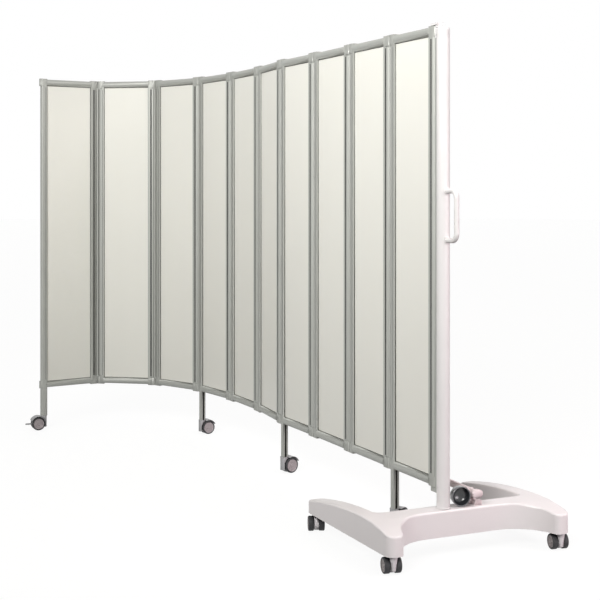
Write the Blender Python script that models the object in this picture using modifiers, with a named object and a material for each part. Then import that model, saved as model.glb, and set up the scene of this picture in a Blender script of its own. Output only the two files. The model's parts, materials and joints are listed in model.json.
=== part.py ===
"""A mobile folding privacy screen: ten framed opal leaves on double-pivot hinge links, carried by a
post on an H-shaped base. Every third leaf has one stile that runs down to a hooded twin castor.
Units are metres, +Z is up, and the origin is the middle of the footprint on the floor."""

import math

import bmesh
import bpy
from mathutils import Vector

# Fits that the pieces share
SEAT_GAP = 0.0003
RUN_GAP = 0.0005
OVERRUN = 0.004
SINK = 0.002
WELD_DISTANCE = 0.00002

# Folding screen
LEAF_COUNT = 10
LEAF_PITCH = 0.290
LEAF_HEIGHT = 1.447
LEAF_BOTTOM = 0.194
LINK_SPAN = 0.031
STILE_WIDTH = 0.030
STILE_DEPTH = 0.020
RAIL_DIAMETER = 0.030
RAIL_DROP = 0.0015
PANEL_THICKNESS = 0.005
GROOVE_WIDTH = 0.006
STILE_GROOVE_DEPTH = 0.008
RAIL_GROOVE_DEPTH = 0.010
LEG_LEAVES = (1, 4, 7, 10)
LEG_BOTTOM = 0.066
# How far each leaf turns from the base's long side, leaf 10 at the post first
LEAF_HEADINGS_DEG = (1.0, 1.0, 1.0, 2.0, -4.5, 2.1, 9.5, 26.0, 55.5, 98.0)

# Hinge links
KNUCKLE_GAP = 0.001
EAR_RADIUS = 0.0075
EAR_THICKNESS = 0.004
PIN_RADIUS = 0.003
PIN_REACH = 0.020
PIN_PLAY = 0.0007
STRIP_GAP = 0.001
STRIP_DEPTH = 0.016
STRIP_CHAMFER = 0.002

# Post
POST_X = -0.048
POST_Y = -0.134
POST_RADIUS = 0.021
POST_WALL = 0.0025
POST_DROP = 0.039
POST_TO_PIVOT = 0.0525
CAP_HEIGHT = 0.029
CAP_ROUND = 0.008
CAP_PLUG = 0.020
POST_STRIP_CLEARANCE = 0.0015
UPPER_BRACKET_THICKNESS = 0.006
UPPER_BRACKET_WEB = 0.040
LOWER_BRACKET_THICKNESS = 0.013
BRACKET_RADIUS = 0.012

# Push handle on the post
HANDLE_TUBE_RADIUS = 0.0083
HANDLE_LOW = 0.970
HANDLE_HIGH = 1.122
HANDLE_REACH = 0.079
HANDLE_BEND = 0.022

# Base shell
BASE_HALF_WIDTH = 0.323
BASE_HALF_LENGTH = 0.287
ARM_WIDTH = 0.057
ARM_CORNER_SHARE = 0.45
TOE_CORNER_SHARE = 0.35
CROSS_NEAR = -0.163
CROSS_FAR = -0.100
NEAR_FILLET = 0.140
FAR_FILLET = 0.022
BASE_UNDER = 0.056
BASE_CREST = 0.139
BASE_CREST_Y = -0.130
BASE_NEAR_TOP = 0.116
BASE_FAR_TOP = 0.094
BASE_RIM = 0.009
BASE_WALL = 0.004

# Steel chassis under the shell
PLATE_THICKNESS = 0.004
PLATE_INSET = 0.006
SOCKET_RADIUS = 0.011
SOCKET_HEIGHT = 0.030
POST_SOCKET_WALL = 0.0035
POST_SOCKET_HEIGHT = 0.055

# Castors under the base
CASTOR_FROM_SIDE = 0.026
CASTOR_FROM_END = 0.019
BASE_WHEEL_RADIUS = 0.025
BASE_WHEEL_WIDTH = 0.019
BASE_WEB_WIDTH = 0.014
BASE_TRAIL = 0.020
BASE_NECK_RADIUS = 0.0124
BASE_NECK_TIP = 0.007
BASE_NECK_LOW = 0.012
BASE_WEB_FRONT = 0.0037

# Castors under the legs
LEG_WHEEL_RADIUS = 0.031
LEG_WHEEL_WIDTH = 0.014
LEG_WEB_WIDTH = 0.012
LEG_TRAIL = 0.026
LEG_NECK_RADIUS = 0.015
LEG_NECK_LOW = 0.014
LEG_WEB_FRONT = 0.012

# Shared by all castors
WHEEL_SIDE_GAP = 0.001
TYRE_EDGE = 0.003
HUB_DISH = 0.002
HUB_SHARE = 0.78
AXLE_RADIUS = 0.004
STEM_RADIUS = 0.005
STEM_PLAY = 0.0004
STEM_LENGTH = 0.024
FENDER_GAP = 0.002
FENDER_THICKNESS = 0.003
FENDER_START_DEG = 25.0
FENDER_END_DEG = 112.0
FENDER_LAP_DEG = 2.0
FENDER_ROOT_SHARE = 0.3

# Brake lever on the end leaf's castor
LEVER_PIN_RADIUS = 0.002
LEVER_HUB_RADIUS = 0.0045
LEVER_FROM_AXLE = 0.0185
LEVER_TONGUE = 0.006
LEVER_THICKNESS = 0.004
LEVER_WIDTH = 0.020
LEVER_LENGTH = 0.026
LEVER_SLOT_ROOM = 0.004

# Foot pedal and round cup on the crossbar
CUP_X = 0.012
CUP_Z = 0.1715
CUP_RADIUS = 0.031
CUP_DEPTH = 0.034
CUP_WALL = 0.003
CUP_TURN_DEG = 8.0
CUP_BOSS_RADIUS = 0.007
CUP_BOSS_SHARE = 0.2
CUP_BOSS_SINK = 0.0045
PEDAL_X = 0.058
PEDAL_PIVOT_Y = -0.118
PEDAL_PIVOT_Z = 0.177
PEDAL_PAD_WIDTH = 0.036
PEDAL_PAD_HEIGHT = 0.027
PEDAL_PAD_DEPTH = 0.016
PEDAL_PAD_Y = -0.152
PEDAL_BAR_WIDTH = 0.010
PEDAL_BAR_HEIGHT = 0.020
PEDAL_BAR_END = 0.030
CHEEK_THICKNESS = 0.005
CHEEK_DEPTH = 0.022
FOOT_WIDTH = 0.023
FOOT_DEPTH = 0.026
FOOT_HEIGHT = 0.014
FOOT_OVERHANG = 0.020

# Facets
ARC_STEPS = 5
ROUND_STEPS = 12
PIN_STEPS = 6
POST_STEPS = 24
WHEEL_STEPS = 14
CUP_STEPS = 16
FENDER_STEPS = 7
FILLET_STEPS = 8
ARCH_STEPS = 10

# Worked out from the sizes above
LEAF_TOP = LEAF_BOTTOM + LEAF_HEIGHT
POST_TOP = LEAF_TOP - POST_DROP
PIVOT_SPAN = LEAF_PITCH - LINK_SPAN
STILE_HALF = STILE_DEPTH / 2
STILE_INNER = STILE_WIDTH - STILE_HALF
LEG_CENTRE = STILE_INNER - STILE_WIDTH / 2
GROOVE_FLOOR = STILE_INNER - STILE_GROOVE_DEPTH
KNUCKLE_RADIUS = (LINK_SPAN - KNUCKLE_GAP) / 2
KNUCKLE_HEIGHT = RAIL_DIAMETER + 2 * RAIL_DROP
NOTCH_HEIGHT = EAR_THICKNESS + 2 * RUN_GAP
NOTCH_REACH = EAR_RADIUS + RUN_GAP
PIN_BORE = PIN_RADIUS + PIN_PLAY
PIVOT_X = POST_X
PIVOT_Y = POST_Y + POST_TO_PIVOT
BASE_ARM_INNER = BASE_HALF_WIDTH - ARM_WIDTH
ARM_CORNER = ARM_CORNER_SHARE * ARM_WIDTH
TOE_CORNER = TOE_CORNER_SHARE * ARM_WIDTH
BASE_CASTOR_X = BASE_HALF_WIDTH - CASTOR_FROM_SIDE
BASE_CASTOR_Y = BASE_HALF_LENGTH - CASTOR_FROM_END
POST_BORE = POST_RADIUS + SEAT_GAP


def clear_scene():
    for item in list(bpy.data.objects):
        bpy.data.objects.remove(item, do_unlink=True)


def make_collection(name):
    group = bpy.data.collections.new(name)
    bpy.context.scene.collection.children.link(group)
    return group


clear_scene()
PARTS = make_collection("privacy_screen")
CUTTERS = make_collection("privacy_screen_cutters")


def make_material(name, colour, roughness, metallic=0.0):
    material = bpy.data.materials.new(name)
    material.use_nodes = True
    shader = material.node_tree.nodes["Principled BSDF"]
    shader.inputs["Base Color"].default_value = (*colour, 1.0)
    shader.inputs["Roughness"].default_value = roughness
    shader.inputs["Metallic"].default_value = metallic
    return material


ALUMINIUM = make_material("satin_aluminium", (0.50, 0.50, 0.49), 0.38, 1.0)
LINK_METAL = make_material("pale_aluminium", (0.62, 0.62, 0.61), 0.42, 1.0)
OPAL = make_material("opal_sheet", (0.86, 0.86, 0.83), 0.45)
WHITE_PAINT = make_material("white_paint", (0.84, 0.79, 0.79), 0.35)
WHITE_MOULDING = make_material("white_moulding", (0.84, 0.79, 0.78), 0.42)
DARK_STEEL = make_material("dark_steel", (0.06, 0.06, 0.06), 0.55, 0.6)
CASTOR_GREY = make_material("castor_grey", (0.46, 0.46, 0.46), 0.5)
TYRE_BLACK = make_material("tyre_black", (0.03, 0.03, 0.03), 0.6)
CUP_BLACK = make_material("gloss_black", (0.03, 0.032, 0.036), 0.15)


def mesh_object(name, mesh, group=None):
    item = bpy.data.objects.new(name, mesh)
    (group or CUTTERS).objects.link(item)
    if group is None:
        item.hide_render = True
        item.display_type = "WIRE"
    return item


def evaluated_mesh(item):
    """The item's mesh with its modifiers, or its curve, made real and welded."""
    bpy.context.view_layer.update()
    depsgraph = bpy.context.evaluated_depsgraph_get()
    mesh = bpy.data.meshes.new_from_object(item.evaluated_get(depsgraph))
    work = bmesh.new()
    work.from_mesh(mesh)
    bmesh.ops.remove_doubles(work, verts=work.verts, dist=WELD_DISTANCE)
    work.to_mesh(mesh)
    work.free()
    return mesh


def bake(item):
    """Put the item's evaluated mesh in its place, keeping where it stands."""
    mesh = evaluated_mesh(item)
    baked = mesh_object(item.name + "_solid", mesh)
    baked.matrix_world = item.matrix_world.copy()
    bpy.data.objects.remove(item, do_unlink=True)
    return baked


def combine(body, tools, operation):
    """Join the tools to the body, or cut them out of it, and remove the tools."""
    for tool in tools:
        modifier = body.modifiers.new(operation.lower(), "BOOLEAN")
        modifier.operation = operation
        modifier.solver = "EXACT"
        modifier.object = tool
    baked = bake(body)
    for tool in tools:
        bpy.data.objects.remove(tool, do_unlink=True)
    return baked


def join(body, *tools):
    return combine(body, tools, "UNION")


def cut(body, *tools):
    return combine(body, tools, "DIFFERENCE")


def arc(centre, radius, start_deg, end_deg, steps=ARC_STEPS):
    """Points on an arc, both ends included, anticlockwise when end_deg is the larger."""
    points = []
    for step in range(steps + 1):
        angle = math.radians(start_deg + (end_deg - start_deg) * step / steps)
        points.append((centre[0] + radius * math.cos(angle), centre[1] + radius * math.sin(angle)))
    return points


def circle(centre, radius, steps=ROUND_STEPS):
    return arc(centre, radius, 0, 360 - 360 / steps, steps - 1)


def plate(name, loops, low, high):
    """A flat outline, with holes if it has more than one loop, extruded from low to high."""
    curve = bpy.data.curves.new(name, "CURVE")
    curve.dimensions = "2D"
    curve.fill_mode = "BOTH"
    curve.extrude = (high - low) / 2
    for loop in loops:
        spline = curve.splines.new("POLY")
        spline.points.add(len(loop) - 1)
        for point, (x, y) in zip(spline.points, loop):
            point.co = (x, y, 0, 1)
        spline.use_cyclic_u = True
    item = mesh_object(name, curve)
    item.location.z = (high + low) / 2
    return apply_transform(bake(item))


def apply_transform(item):
    bpy.context.view_layer.update()
    item.data.transform(item.matrix_world)
    item.matrix_world.identity()
    return item


def box(name, low, high):
    """A box between two corners."""
    mesh = bpy.data.meshes.new(name)
    work = bmesh.new()
    bmesh.ops.create_cube(work, size=1)
    size = Vector(high) - Vector(low)
    bmesh.ops.scale(work, vec=size, verts=work.verts)
    bmesh.ops.translate(work, vec=(Vector(high) + Vector(low)) / 2, verts=work.verts)
    work.to_mesh(mesh)
    work.free()
    return mesh_object(name, mesh)


def cylinder(name, start, end, radius, steps=ROUND_STEPS):
    """A cylinder between two points."""
    start = Vector(start)
    along = Vector(end) - start
    mesh = bpy.data.meshes.new(name)
    work = bmesh.new()
    bmesh.ops.create_cone(work, cap_ends=True, segments=steps, radius1=radius, radius2=radius,
                          depth=along.length)
    turn = along.to_track_quat("Z", "Y").to_matrix()
    bmesh.ops.rotate(work, matrix=turn, verts=work.verts)
    bmesh.ops.translate(work, vec=start + along / 2, verts=work.verts)
    work.to_mesh(mesh)
    work.free()
    return mesh_object(name, mesh)


def turned(name, profile, steps=ROUND_STEPS, offset_deg=0.0):
    """A solid of revolution about Z. The profile runs down its outer side as (radius, height)."""
    mesh = bpy.data.meshes.new(name)
    turn = math.radians(offset_deg)
    points = [(r * math.cos(turn), r * math.sin(turn), z) for r, z in profile]
    mesh.from_pydata(points, [(i, i + 1) for i in range(len(points) - 1)], [])
    item = mesh_object(name, mesh)
    screw = item.modifiers.new("turn", "SCREW")
    screw.axis = "Z"
    screw.steps = steps
    screw.render_steps = steps
    screw.use_merge_vertices = True
    screw.merge_threshold = WELD_DISTANCE
    return bake(item)


def tube(name, points, radius, resolution=2):
    """A round bar along a list of points."""
    curve = bpy.data.curves.new(name, "CURVE")
    curve.dimensions = "3D"
    curve.bevel_depth = radius
    curve.bevel_resolution = resolution
    curve.use_fill_caps = True
    spline = curve.splines.new("POLY")
    spline.points.add(len(points) - 1)
    for point, place in zip(spline.points, points):
        point.co = (*place, 1)
    return bake(mesh_object(name, curve))


def along_y(item):
    """Stand an extruded outline up: its own Y becomes up, and its thickness runs along Y."""
    item.rotation_euler = (math.radians(90), 0, 0)
    return apply_transform(item)


def publish(item, name, material, parent, smooth_deg=40):
    """Turn a finished solid into the named sub-part and hang it on its parent."""
    mesh = item.data
    if item.name != name:
        bpy.data.objects.remove(item, do_unlink=True)
    return publish_mesh(mesh, name, material, parent, smooth_deg)


def publish_mesh(mesh, name, material, parent, smooth_deg=40):
    part = bpy.data.objects.new(name, mesh)
    PARTS.objects.link(part)
    if not mesh.materials:
        mesh.materials.append(material)
    mesh.shade_smooth()
    mesh.set_sharp_from_angle(angle=math.radians(smooth_deg))
    part.parent = parent
    return part


def empty(name, parent, location=(0, 0, 0), turn_deg=0.0):
    item = bpy.data.objects.new(name, None)
    PARTS.objects.link(item)
    item.parent = parent
    item.location = location
    item.rotation_euler = (0, 0, math.radians(turn_deg))
    return item


# Leaf frames

def stile_outline(mirror_at=None):
    """Section of a stile about its pivot: round outer edge, flat faces, square inner side."""
    points = [(STILE_INNER, -STILE_HALF), (STILE_INNER, STILE_HALF)] + arc((0, 0), STILE_HALF, 90, 270)
    if mirror_at is None:
        return points
    return [(mirror_at - x, y) for x, y in reversed(points)]


def knuckle(name, low, mirror_at=None):
    """The round lug at a stile's outer edge, as deep as the stile, about its pivot."""
    half = STILE_HALF - SEAT_GAP
    spread = math.degrees(math.asin(half / KNUCKLE_RADIUS))
    points = [(0, -half), (0, half)] + arc((0, 0), KNUCKLE_RADIUS, 180 - spread, 180 + spread, 4)
    if mirror_at is not None:
        points = [(mirror_at - x, y) for x, y in reversed(points)]
    return plate(name, [points], low, low + KNUCKLE_HEIGHT)


def link_notches(x, side):
    """Cutters for one stile: a notch for each ear and a bore for its pin. side is +1 or -1."""
    tools = []
    inner = x + side * NOTCH_REACH
    outer = x - side * (KNUCKLE_RADIUS + OVERRUN)
    for floor, up in ((LEAF_BOTTOM + KNUCKLE_HEIGHT, 1), (LEAF_TOP - KNUCKLE_HEIGHT, -1)):
        low = min(floor, floor + up * NOTCH_HEIGHT)
        tools.append(box("ear_notch", (min(inner, outer), -KNUCKLE_RADIUS, low),
                         (max(inner, outer), KNUCKLE_RADIUS, low + NOTCH_HEIGHT)))
        start = (x, 0, floor - up * (PIN_REACH + RUN_GAP))
        tools.append(cylinder("pin_bore", start, (x, 0, floor + up * RUN_GAP), PIN_BORE, PIN_STEPS))
    return tools


def post_bores(x):
    """Bores in the top and bottom knuckles for the post brackets' pins."""
    depth = PIN_REACH + RUN_GAP
    low = cylinder("pin_bore", (x, 0, LEAF_BOTTOM - OVERRUN), (x, 0, LEAF_BOTTOM + depth), PIN_BORE, PIN_STEPS)
    high = cylinder("pin_bore", (x, 0, LEAF_TOP - depth), (x, 0, LEAF_TOP + OVERRUN), PIN_BORE, PIN_STEPS)
    return [low, high]


def rail(name, centre_z):
    start = STILE_INNER - SINK
    end = PIVOT_SPAN - STILE_INNER + SINK
    return cylinder(name, (start, 0, centre_z), (end, 0, centre_z), RAIL_DIAMETER / 2)


BOTTOM_RAIL_Z = LEAF_BOTTOM + RAIL_DROP + RAIL_DIAMETER / 2
TOP_RAIL_Z = LEAF_TOP - RAIL_DROP - RAIL_DIAMETER / 2
POCKET_LOW = BOTTOM_RAIL_Z + RAIL_DIAMETER / 2 - RAIL_GROOVE_DEPTH
POCKET_HIGH = TOP_RAIL_Z - RAIL_DIAMETER / 2 + RAIL_GROOVE_DEPTH


def leaf_frame_mesh(at_post, free_end, has_leg):
    """One leaf's frame: near pivot at the origin, far pivot at PIVOT_SPAN along X."""
    far_low = LEG_BOTTOM if has_leg else LEAF_BOTTOM
    near = plate("near_stile", [stile_outline()], LEAF_BOTTOM, LEAF_TOP)
    far = plate("far_stile", [stile_outline(PIVOT_SPAN)], far_low, LEAF_TOP)
    joined = [far, rail("bottom_rail", BOTTOM_RAIL_Z), rail("top_rail", TOP_RAIL_Z)]
    for mirror_at in (None, PIVOT_SPAN):
        joined.append(knuckle("knuckle", LEAF_BOTTOM, mirror_at))
        joined.append(knuckle("knuckle", LEAF_TOP - KNUCKLE_HEIGHT, mirror_at))
    frame = join(near, *joined)
    groove = GROOVE_WIDTH / 2
    far_floor = PIVOT_SPAN - GROOVE_FLOOR
    tools = [box("panel_groove", (GROOVE_FLOOR, -groove, POCKET_LOW), (far_floor, groove, POCKET_HIGH))]
    tools += post_bores(0) if at_post else link_notches(0, 1)
    if not free_end:
        tools += link_notches(PIVOT_SPAN, -1)
    if has_leg:
        inner = PIVOT_SPAN - STILE_INNER - OVERRUN
        tools.append(box("leg_slot", (inner, -groove, LEG_BOTTOM - OVERRUN), (far_floor, groove, LEAF_BOTTOM)))
        x = PIVOT_SPAN - LEG_CENTRE
        tools.append(cylinder("stem_socket", (x, 0, LEG_BOTTOM - OVERRUN),
                              (x, 0, LEG_BOTTOM + STEM_LENGTH + RUN_GAP), STEM_RADIUS + STEM_PLAY, ROUND_STEPS))
    return cut(frame, *tools).data


def panel_mesh():
    reach = GROOVE_FLOOR + SEAT_GAP
    half = PANEL_THICKNESS / 2
    low = (reach, -half, POCKET_LOW + SEAT_GAP)
    high = (PIVOT_SPAN - reach, half, POCKET_HIGH - SEAT_GAP)
    return box("panel", low, high).data


def link_mesh():
    """Cover strip, an ear at each end of it and the pins, about the near pivot at the origin."""
    low = LEAF_BOTTOM + KNUCKLE_HEIGHT + RUN_GAP
    high = LEAF_TOP - KNUCKLE_HEIGHT - RUN_GAP
    half_width = LINK_SPAN / 2 - STILE_HALF - STRIP_GAP
    half_depth = STRIP_DEPTH / 2
    middle = LINK_SPAN / 2
    chamfer = STRIP_CHAMFER
    corner = [(half_width, half_depth - chamfer), (half_width - chamfer, half_depth)]
    section = corner + [(-x, y) for x, y in reversed(corner)]
    section += [(-x, -y) for x, y in section]
    strip = plate("strip", [[(middle + x, y) for x, y in section]], low + SINK, high - SINK)
    ear_outline = arc((0, 0), EAR_RADIUS, 90, 270) + arc((LINK_SPAN, 0), EAR_RADIUS, -90, 90)
    tools = [plate("low_ear", [ear_outline], low, low + EAR_THICKNESS),
             plate("high_ear", [ear_outline], high - EAR_THICKNESS, high)]
    for x in (0, LINK_SPAN):
        tools.append(cylinder("low_pin", (x, 0, low - RUN_GAP - PIN_REACH), (x, 0, low + SINK),
                              PIN_RADIUS, PIN_STEPS))
        tools.append(cylinder("high_pin", (x, 0, high - SINK), (x, 0, high + RUN_GAP + PIN_REACH),
                              PIN_RADIUS, PIN_STEPS))
    return join(strip, *tools).data


# Castors

def wheel_profile(radius, wheel_width, web_width):
    """Two wheels and the axle between them, as one turned outline."""
    inner = web_width / 2 + WHEEL_SIDE_GAP
    outer = inner + wheel_width
    hub = radius * HUB_SHARE
    face = outer - HUB_DISH
    half = [(0, face), (hub, face), (hub + HUB_DISH, outer), (radius - TYRE_EDGE, outer),
            (radius, outer - TYRE_EDGE), (radius, inner), (AXLE_RADIUS, inner)]
    return half + [(r, -z) for r, z in reversed(half)]


def wheels_mesh(radius, wheel_width, web_width):
    """Turned about the axle, with a flat facet of the tread straight down."""
    item = turned("wheels", wheel_profile(radius, wheel_width, web_width), WHEEL_STEPS,
                  180 / WHEEL_STEPS - 90)
    item.rotation_euler = (math.radians(90), 0, 0)
    return apply_transform(item).data


def castor_body_mesh(sizes, neck_sizes, top, fender, lever_seat=False):
    """Body of a twin castor about its stem axis: the wheels trail along +X, floor at zero."""
    radius, wheel_width, web_width, trail = sizes
    neck_radius, neck_tip, neck_low, web_front = neck_sizes
    axle_z = radius * math.cos(math.pi / WHEEL_STEPS)
    axle = (trail, axle_z)
    web_radius = radius - TYRE_EDGE
    shell_radius = radius + FENDER_GAP
    web_outline = arc(axle, web_radius, -60, FENDER_START_DEG)
    tools = [cylinder("stem", (0, 0, top - SINK), (0, 0, top + STEM_LENGTH), STEM_RADIUS, ROUND_STEPS)]
    if fender:
        outer = shell_radius + FENDER_THICKNESS
        ring = arc(axle, outer, FENDER_START_DEG, FENDER_END_DEG, FENDER_STEPS)
        ring += arc(axle, shell_radius, FENDER_END_DEG, FENDER_START_DEG, FENDER_STEPS)
        half = web_width / 2 + WHEEL_SIDE_GAP + wheel_width
        tools.append(along_y(plate("fender", [ring], -half, half)))
        web_outline += arc(axle, shell_radius + FENDER_THICKNESS / 2, FENDER_START_DEG + FENDER_LAP_DEG,
                           FENDER_END_DEG - FENDER_LAP_DEG, FENDER_STEPS)
    else:
        web_outline += arc(axle, web_radius, FENDER_START_DEG + FENDER_LAP_DEG, FENDER_END_DEG)
    web_outline += [(-web_front, top - neck_radius / 2), (-web_front, axle_z),
                    (trail - web_radius / 2, axle_z - web_radius * math.sin(math.radians(60)))]
    web = along_y(plate("web", [web_outline], -web_width / 2, web_width / 2))
    neck = turned("neck", [(0, top), (neck_radius, top), (neck_tip, neck_low), (0, neck_low)])
    wheel_room = []
    room_radius = shell_radius + FENDER_ROOT_SHARE * FENDER_THICKNESS if fender else shell_radius
    inner = web_width / 2 + SEAT_GAP
    outer = inner + 2 * WHEEL_SIDE_GAP + wheel_width
    for side in (-1, 1):
        start = (trail, side * inner, axle_z)
        end = (trail, side * (outer + OVERRUN), axle_z)
        wheel_room.append(cylinder("wheel_room", start, end, room_radius, WHEEL_STEPS))
    neck = cut(neck, *wheel_room)
    body = join(web, neck, *tools)
    bore = cylinder("axle_bore", (trail, -outer, axle_z), (trail, outer, axle_z),
                    AXLE_RADIUS + RUN_GAP, ROUND_STEPS)
    if not lever_seat:
        return cut(body, bore).data
    half = LEVER_TONGUE / 2 + RUN_GAP
    pivot = trail + LEVER_FROM_AXLE
    low = axle_z - LEVER_HUB_RADIUS - LEVER_SLOT_ROOM
    high = axle_z + LEVER_HUB_RADIUS + LEVER_SLOT_ROOM
    slot = box("lever_slot", (pivot - LEVER_HUB_RADIUS - RUN_GAP, -half, low), (trail + radius, half, high))
    body = cut(body, bore, slot)
    pin = cylinder("lever_pin", (pivot, -half - SINK / 2, axle_z), (pivot, half + SINK / 2, axle_z),
                   LEVER_PIN_RADIUS, PIN_STEPS)
    return join(body, pin).data


def add_castor(prefix, parent, location, turn_deg, sizes, meshes, material):
    """One swivelling castor: a body on its stem axis, and its wheels on their axle."""
    radius, trail = sizes
    swivel = empty(prefix + "_swivel_axis", parent, location, turn_deg)
    publish_mesh(meshes[0], prefix + "_body", material, swivel)
    axle_z = radius * math.cos(math.pi / WHEEL_STEPS)
    axle = empty(prefix + "_axle_axis", swivel, (trail, 0, axle_z))
    publish_mesh(meshes[1], prefix + "_wheels", TYRE_BLACK, axle)
    return swivel


# Base

def base_outline(inset):
    """Plan of the H base, drawn from its near left arm anticlockwise, inset all round."""
    wide = BASE_HALF_WIDTH - inset
    long = BASE_HALF_LENGTH - inset
    inner = BASE_ARM_INNER + inset
    corner = ARM_CORNER - inset
    toe = TOE_CORNER - inset
    near = CROSS_NEAR + inset
    far = CROSS_FAR - inset
    near_round = NEAR_FILLET + inset
    far_round = FAR_FILLET + inset
    toe_centre = (inner + toe, -long + toe)
    near_centre_y = near - near_round
    rise = toe_centre[1] - near_centre_y
    near_centre_x = toe_centre[0] - math.sqrt((near_round + toe) ** 2 - rise ** 2)
    meet = math.degrees(math.asin(rise / (near_round + toe)))
    half = []
    half += arc((near_centre_x, near_centre_y), near_round, 90, meet, FILLET_STEPS)
    half += arc(toe_centre, toe, 180 + meet, 270)
    half += arc((wide - corner, -long + corner), corner, 270, 360)
    half += arc((wide - corner, long - corner), corner, 0, 90)
    half += arc((inner + corner, long - corner), corner, 90, 180)
    half += arc((inner - far_round, far + far_round), far_round, 0, -90)
    return half + [(-x, y) for x, y in reversed(half)]


def base_top_height(y):
    """Height of the arched top at a distance y from the base's middle: one arc on each side of its crest."""
    near_side = y < BASE_CREST_Y
    run = BASE_HALF_LENGTH + BASE_CREST_Y if near_side else BASE_HALF_LENGTH - BASE_CREST_Y
    rise = BASE_CREST - (BASE_NEAR_TOP if near_side else BASE_FAR_TOP)
    arch_radius = (run ** 2 + rise ** 2) / (2 * rise)
    return BASE_CREST - arch_radius + math.sqrt(arch_radius ** 2 - (y - BASE_CREST_Y) ** 2)


def arch_solid(name, drop, low, steps=ARCH_STEPS):
    """A slab with the base's arched top, lowered by drop, from low upwards."""
    reach = BASE_HALF_LENGTH + OVERRUN
    width = BASE_HALF_WIDTH + OVERRUN
    top = []
    for step in range(steps + 1):
        y = reach - 2 * reach * step / steps
        top.append((y, base_top_height(min(max(y, -BASE_HALF_LENGTH), BASE_HALF_LENGTH)) - drop))
    slab = plate(name, [[(-reach, low), (reach, low)] + top], -width, width)
    slab.rotation_euler = (math.radians(90), 0, math.radians(90))
    return apply_transform(slab)


def round_top_rim(item, width):
    """Bevel the edges where the walls meet the arched top."""
    work = bmesh.new()
    work.from_mesh(item.data)
    weight = work.edges.layers.float.new("bevel_weight_edge")
    for edge in work.edges:
        if len(edge.link_faces) != 2:
            continue
        upward = sorted(face.normal.z for face in edge.link_faces)
        if abs(upward[0]) < 0.2 and upward[1] > 0.7:
            edge[weight] = 1.0
    work.to_mesh(item.data)
    work.free()
    bevel = item.modifiers.new("rim", "BEVEL")
    bevel.limit_method = "WEIGHT"
    bevel.width = width
    bevel.segments = 2
    return bake(item)


def make_base_cover(parent):
    outer = plate("cover_plan", [base_outline(0)], BASE_UNDER, BASE_CREST + OVERRUN)
    outer = combine(outer, [arch_solid("cover_arch", 0, 0)], "INTERSECT")
    outer = round_top_rim(outer, BASE_RIM)
    room = plate("room_plan", [base_outline(BASE_WALL)], BASE_UNDER - OVERRUN, BASE_CREST)
    room = combine(room, [arch_solid("room_arch", BASE_WALL, 0)], "INTERSECT")
    hole = cylinder("post_hole", (POST_X, POST_Y, BASE_UNDER), (POST_X, POST_Y, BASE_CREST + OVERRUN),
                    POST_RADIUS + RUN_GAP, POST_STEPS)
    cover = cut(outer, room, hole)
    return publish(cover, "base_cover", WHITE_MOULDING, parent)


def make_chassis(parent):
    """A steel plate that closes the shell below, with a tube for the post and one for each stem."""
    low = BASE_UNDER
    top = low + PLATE_THICKNESS
    chassis = plate("chassis_plan", [base_outline(PLATE_INSET)], low, top)
    post_tube = POST_BORE + POST_SOCKET_WALL
    tools = [cylinder("post_tube", (POST_X, POST_Y, top - SINK), (POST_X, POST_Y, low + POST_SOCKET_HEIGHT),
                      post_tube, POST_STEPS)]
    bores = [cylinder("post_bore", (POST_X, POST_Y, top), (POST_X, POST_Y, BASE_CREST),
                      POST_BORE, POST_STEPS)]
    for x in (-BASE_CASTOR_X, BASE_CASTOR_X):
        for y in (-BASE_CASTOR_Y, BASE_CASTOR_Y):
            tools.append(cylinder("stem_tube", (x, y, top - SINK), (x, y, low + SOCKET_HEIGHT), SOCKET_RADIUS))
            bores.append(cylinder("stem_bore", (x, y, low - OVERRUN),
                                  (x, y, low + STEM_LENGTH + RUN_GAP), STEM_RADIUS + STEM_PLAY, ROUND_STEPS))
    chassis = cut(join(chassis, *tools), *bores)
    return publish(chassis, "base_chassis", DARK_STEEL, parent)


# Post and what it carries

def make_post(parent):
    """Tube, cap, brackets, cover strip and push handle, all about the post's own axis."""
    axis = empty("post_axis", parent, (POST_X, POST_Y, 0))
    low = BASE_UNDER + PLATE_THICKNESS + SEAT_GAP
    inside = POST_RADIUS - POST_WALL
    steps = POST_STEPS
    post = plate("post_tube", [circle((0, 0), POST_RADIUS, steps), circle((0, 0), inside, steps)],
                 low, POST_TOP)
    publish(post, "post", WHITE_PAINT, axis)
    seat = POST_TOP + SEAT_GAP
    top = seat + CAP_HEIGHT
    dome = [(r, top - CAP_ROUND + z) for r, z in arc((POST_RADIUS - CAP_ROUND, 0), CAP_ROUND, 90, 0, 4)]
    plug = inside - SEAT_GAP
    cap = turned("cap", [(0, top)] + dome + [(POST_RADIUS, seat), (plug, seat), (plug, seat - CAP_PLUG),
                         (0, seat - CAP_PLUG)], steps)
    publish(cap, "post_cap", WHITE_MOULDING, axis)
    make_brackets(axis)
    make_handle(axis)


def bracket_arm(name, low, high):
    """An arm from the post to the leaf's pivot, which is on the post's +Y side."""
    outline = arc((0, POST_TO_PIVOT), BRACKET_RADIUS, 0, 180)
    outline += [(-BRACKET_RADIUS, 0), (BRACKET_RADIUS, 0)]
    return plate(name, [outline], low, high)


def saddle(low, high):
    return cylinder("saddle", (0, 0, low), (0, 0, high), POST_RADIUS + SEAT_GAP, POST_STEPS)


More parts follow.
